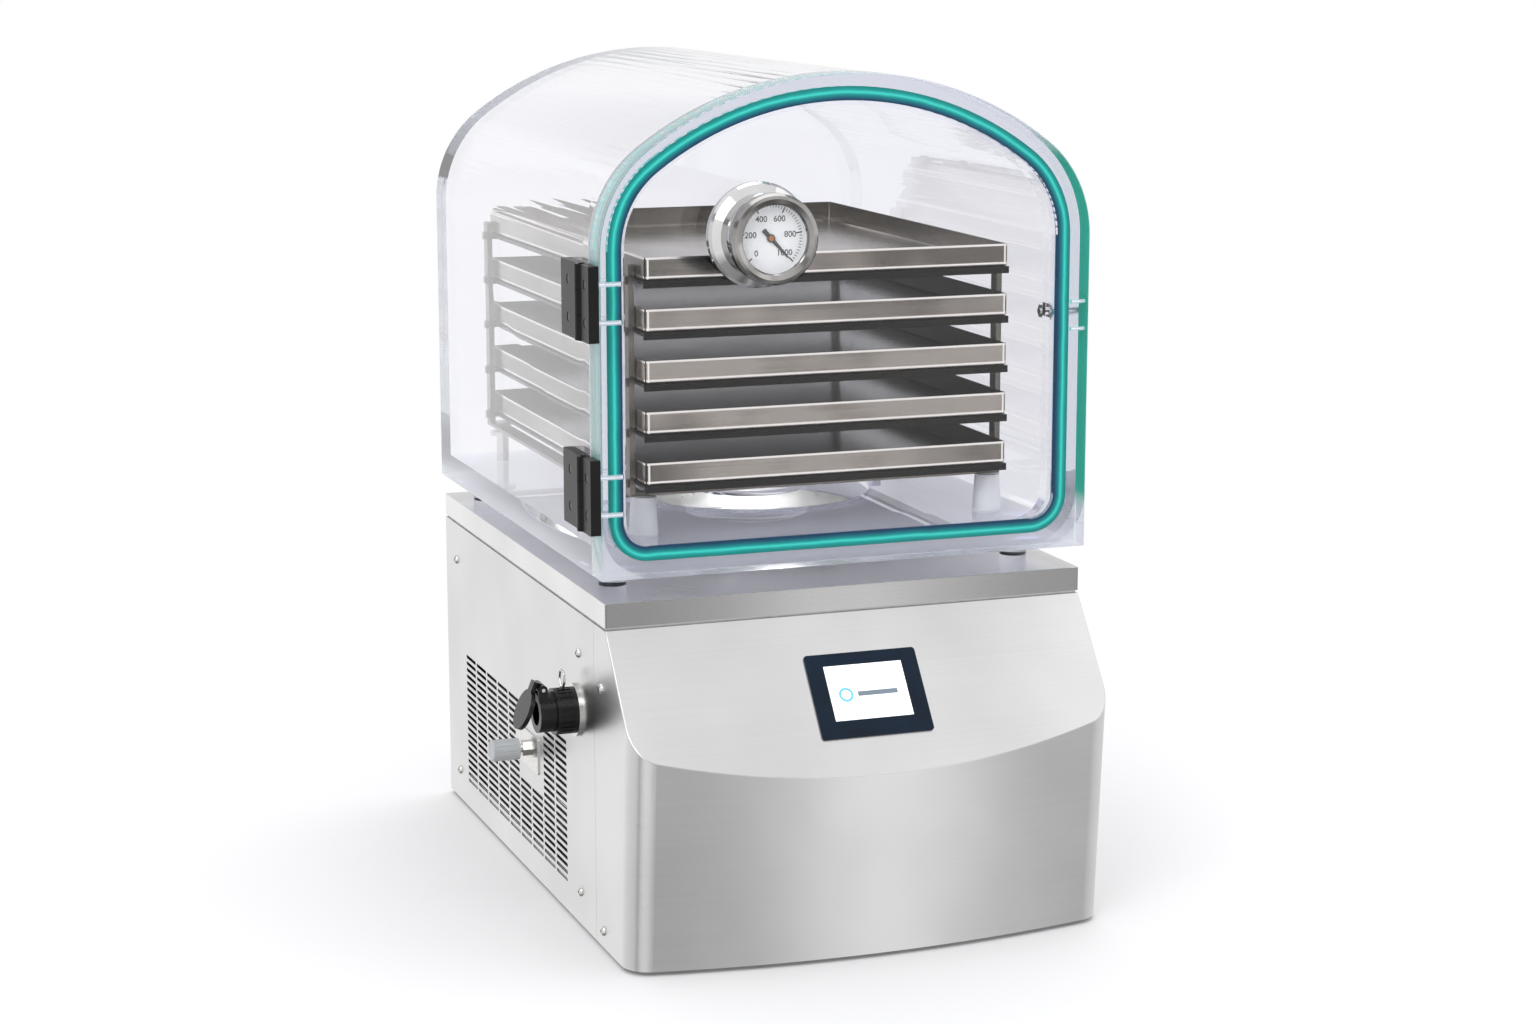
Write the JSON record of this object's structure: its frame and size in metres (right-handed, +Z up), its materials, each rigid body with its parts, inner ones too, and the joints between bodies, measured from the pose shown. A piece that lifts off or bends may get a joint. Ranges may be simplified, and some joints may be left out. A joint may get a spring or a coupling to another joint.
{
  "type": "tray freeze dryer",
  "caption": "Bench-top tray freeze dryer: arched clear chamber with hinged gauge door and stacked trays on a stainless cabinet with ice condenser and touch screen.",
  "frame": {"origin": "on the table, under the middle of the outer box with the door shut", "axes": "+X to the right seen from the front, +Y to the back, +Z up; the door and screen face -Y"},
  "size_m": [0.5032, 0.6373, 0.7493],
  "materials": {
    "stainless_sheet": "brushed, fine grain",
    "stainless_lid": "brushed plate, sharp folded edge",
    "tray_steel": "satin stainless sheet",
    "rack_steel": "satin stainless flat bar",
    "vessel_steel": "drawn and polished inside",
    "zinc_steel": "zinc plated frame strip",
    "fastener_steel": "bright stainless fasteners",
    "polished_steel": "polished gauge case",
    "clear_acrylic": "clear cast acrylic, polished edges",
    "gauge_glass": "flat clear window",
    "teal_silicone": "moulded silicone gasket",
    "black_rubber": "moulded rubber",
    "clear_rubber": "translucent silicone",
    "black_nylon": "moulded glass-filled nylon",
    "black_plastic": "moulded, semi-gloss",
    "grey_plastic": "moulded grey",
    "white_ptfe": "turned white fluoropolymer",
    "screen_frame": "dark blue-black front",
    "screen_glass": "lit display behind clear glass",
    "dial_white": "white enamelled dial",
    "pointer_black": "black enamel",
    "heater_black": "silicone heater mat",
    "foam": "closed-cell foam",
    "copper": "copper tube",
    "compressor_black": "black enamel",
    "coil_aluminium": "aluminium fins",
    "electronics_box": "zinc plated box"
  },
  "bodies": {
    "cabinet": {"baffle": "clear_acrylic", "base_pan": "zinc_steel", "catch_keeper": "fastener_steel", "chamber_back": "clear_acrylic", "chamber_floor": "clear_acrylic", "chamber_pads": "clear_rubber", "chamber_shell": "clear_acrylic", "compressor": "compressor_black", "condenser_coil": "coil_aluminium", "condenser_vessel": "vessel_steel", "drain_valve": "fastener_steel", "evaporator_jacket": "copper", "fan_housing": "black_plastic", "feet": "black_rubber", "frame_hinge_leaves": "black_nylon", "frame_hinge_pins": "fastener_steel", "front_cover": "stainless_sheet", "front_frame": "clear_acrylic", "inner_frame": "zinc_steel", "left_side_panel": "stainless_sheet", "mains_inlet": "black_plastic", "panel_screws": "fastener_steel", "pipework": "vessel_steel", "power_supply": "electronics_box", "rack_feet": "white_ptfe", "rack_frame": "rack_steel", "rack_studs": "fastener_steel", "rear_panel": "stainless_sheet", "right_side_panel": "stainless_sheet", "screen_display": "screen_glass", "screen_housing": "screen_frame", "shelf_heaters": "heater_black", "shelves": "rack_steel", "switch_body": "black_plastic", "top_plate": "stainless_lid", "tray_1": "tray_steel", "tray_2": "tray_steel", "tray_3": "tray_steel", "tray_4": "tray_steel", "tray_5": "tray_steel", "vacuum_port_body": "black_plastic", "vacuum_port_clip": "fastener_steel", "vacuum_port_collar": "black_plastic", "vacuum_port_flange": "fastener_steel", "vessel_insulation": "foam"},
    "door": {"door_panel": "clear_acrylic", "door_gasket": "teal_silicone", "door_hinge_leaves": "black_nylon", "door_screws": "fastener_steel", "catch_strap": "fastener_steel", "gauge_case": "polished_steel", "gauge_bezel": "polished_steel", "gauge_dial": "dial_white", "gauge_lens": "gauge_glass"},
    "gauge_pointer": {"gauge_pointer": "pointer_black"},
    "port_cap": {"vacuum_port_cap": "black_plastic"},
    "drain_knob": {"drain_knob": "grey_plastic"},
    "fan_front": {"fan_rotor_front": "black_plastic"},
    "fan_rear": {"fan_rotor_rear": "black_plastic"},
    "switch_rocker": {"switch_rocker": "black_plastic"}
  },
  "joints": [
    {"name": "door_hinge", "type": "hinge", "parent": "cabinet", "child": "door", "pos_m": [-0.2063, -0.19835, 0.482], "axis": [0, 0, -1], "range_deg": [0, 120]},
    {"name": "gauge_pointer_turn", "type": "hinge", "parent": "door", "child": "gauge_pointer", "pos_m": [-0.063, -0.264, 0.617], "axis": [0, -1, 0], "range_deg": [0, 270]},
    {"name": "port_cap_hinge", "type": "hinge", "parent": "cabinet", "child": "port_cap", "pos_m": [-0.229, -0.135, 0.2195], "axis": [0, 1, 0], "range_deg": [-22, 80]},
    {"name": "drain_knob_turn", "type": "hinge", "parent": "cabinet", "child": "drain_knob", "pos_m": [-0.206, 0.022, 0.122], "axis": [-1, 0, 0], "range_deg": [0, 270]},
    {"name": "fan_front_spin", "type": "hinge", "parent": "cabinet", "child": "fan_front", "pos_m": [-0.137, -0.023, 0.0925], "axis": [1, 0, 0], "continuous": true},
    {"name": "fan_rear_spin", "type": "hinge", "parent": "cabinet", "child": "fan_rear", "pos_m": [-0.137, 0.153, 0.0925], "axis": [1, 0, 0], "continuous": true},
    {"name": "switch_rock", "type": "hinge", "parent": "cabinet", "child": "switch_rocker", "pos_m": [-0.057, 0.315, 0.06], "axis": [1, 0, 0], "range_deg": [0, 18]}
  ]
}
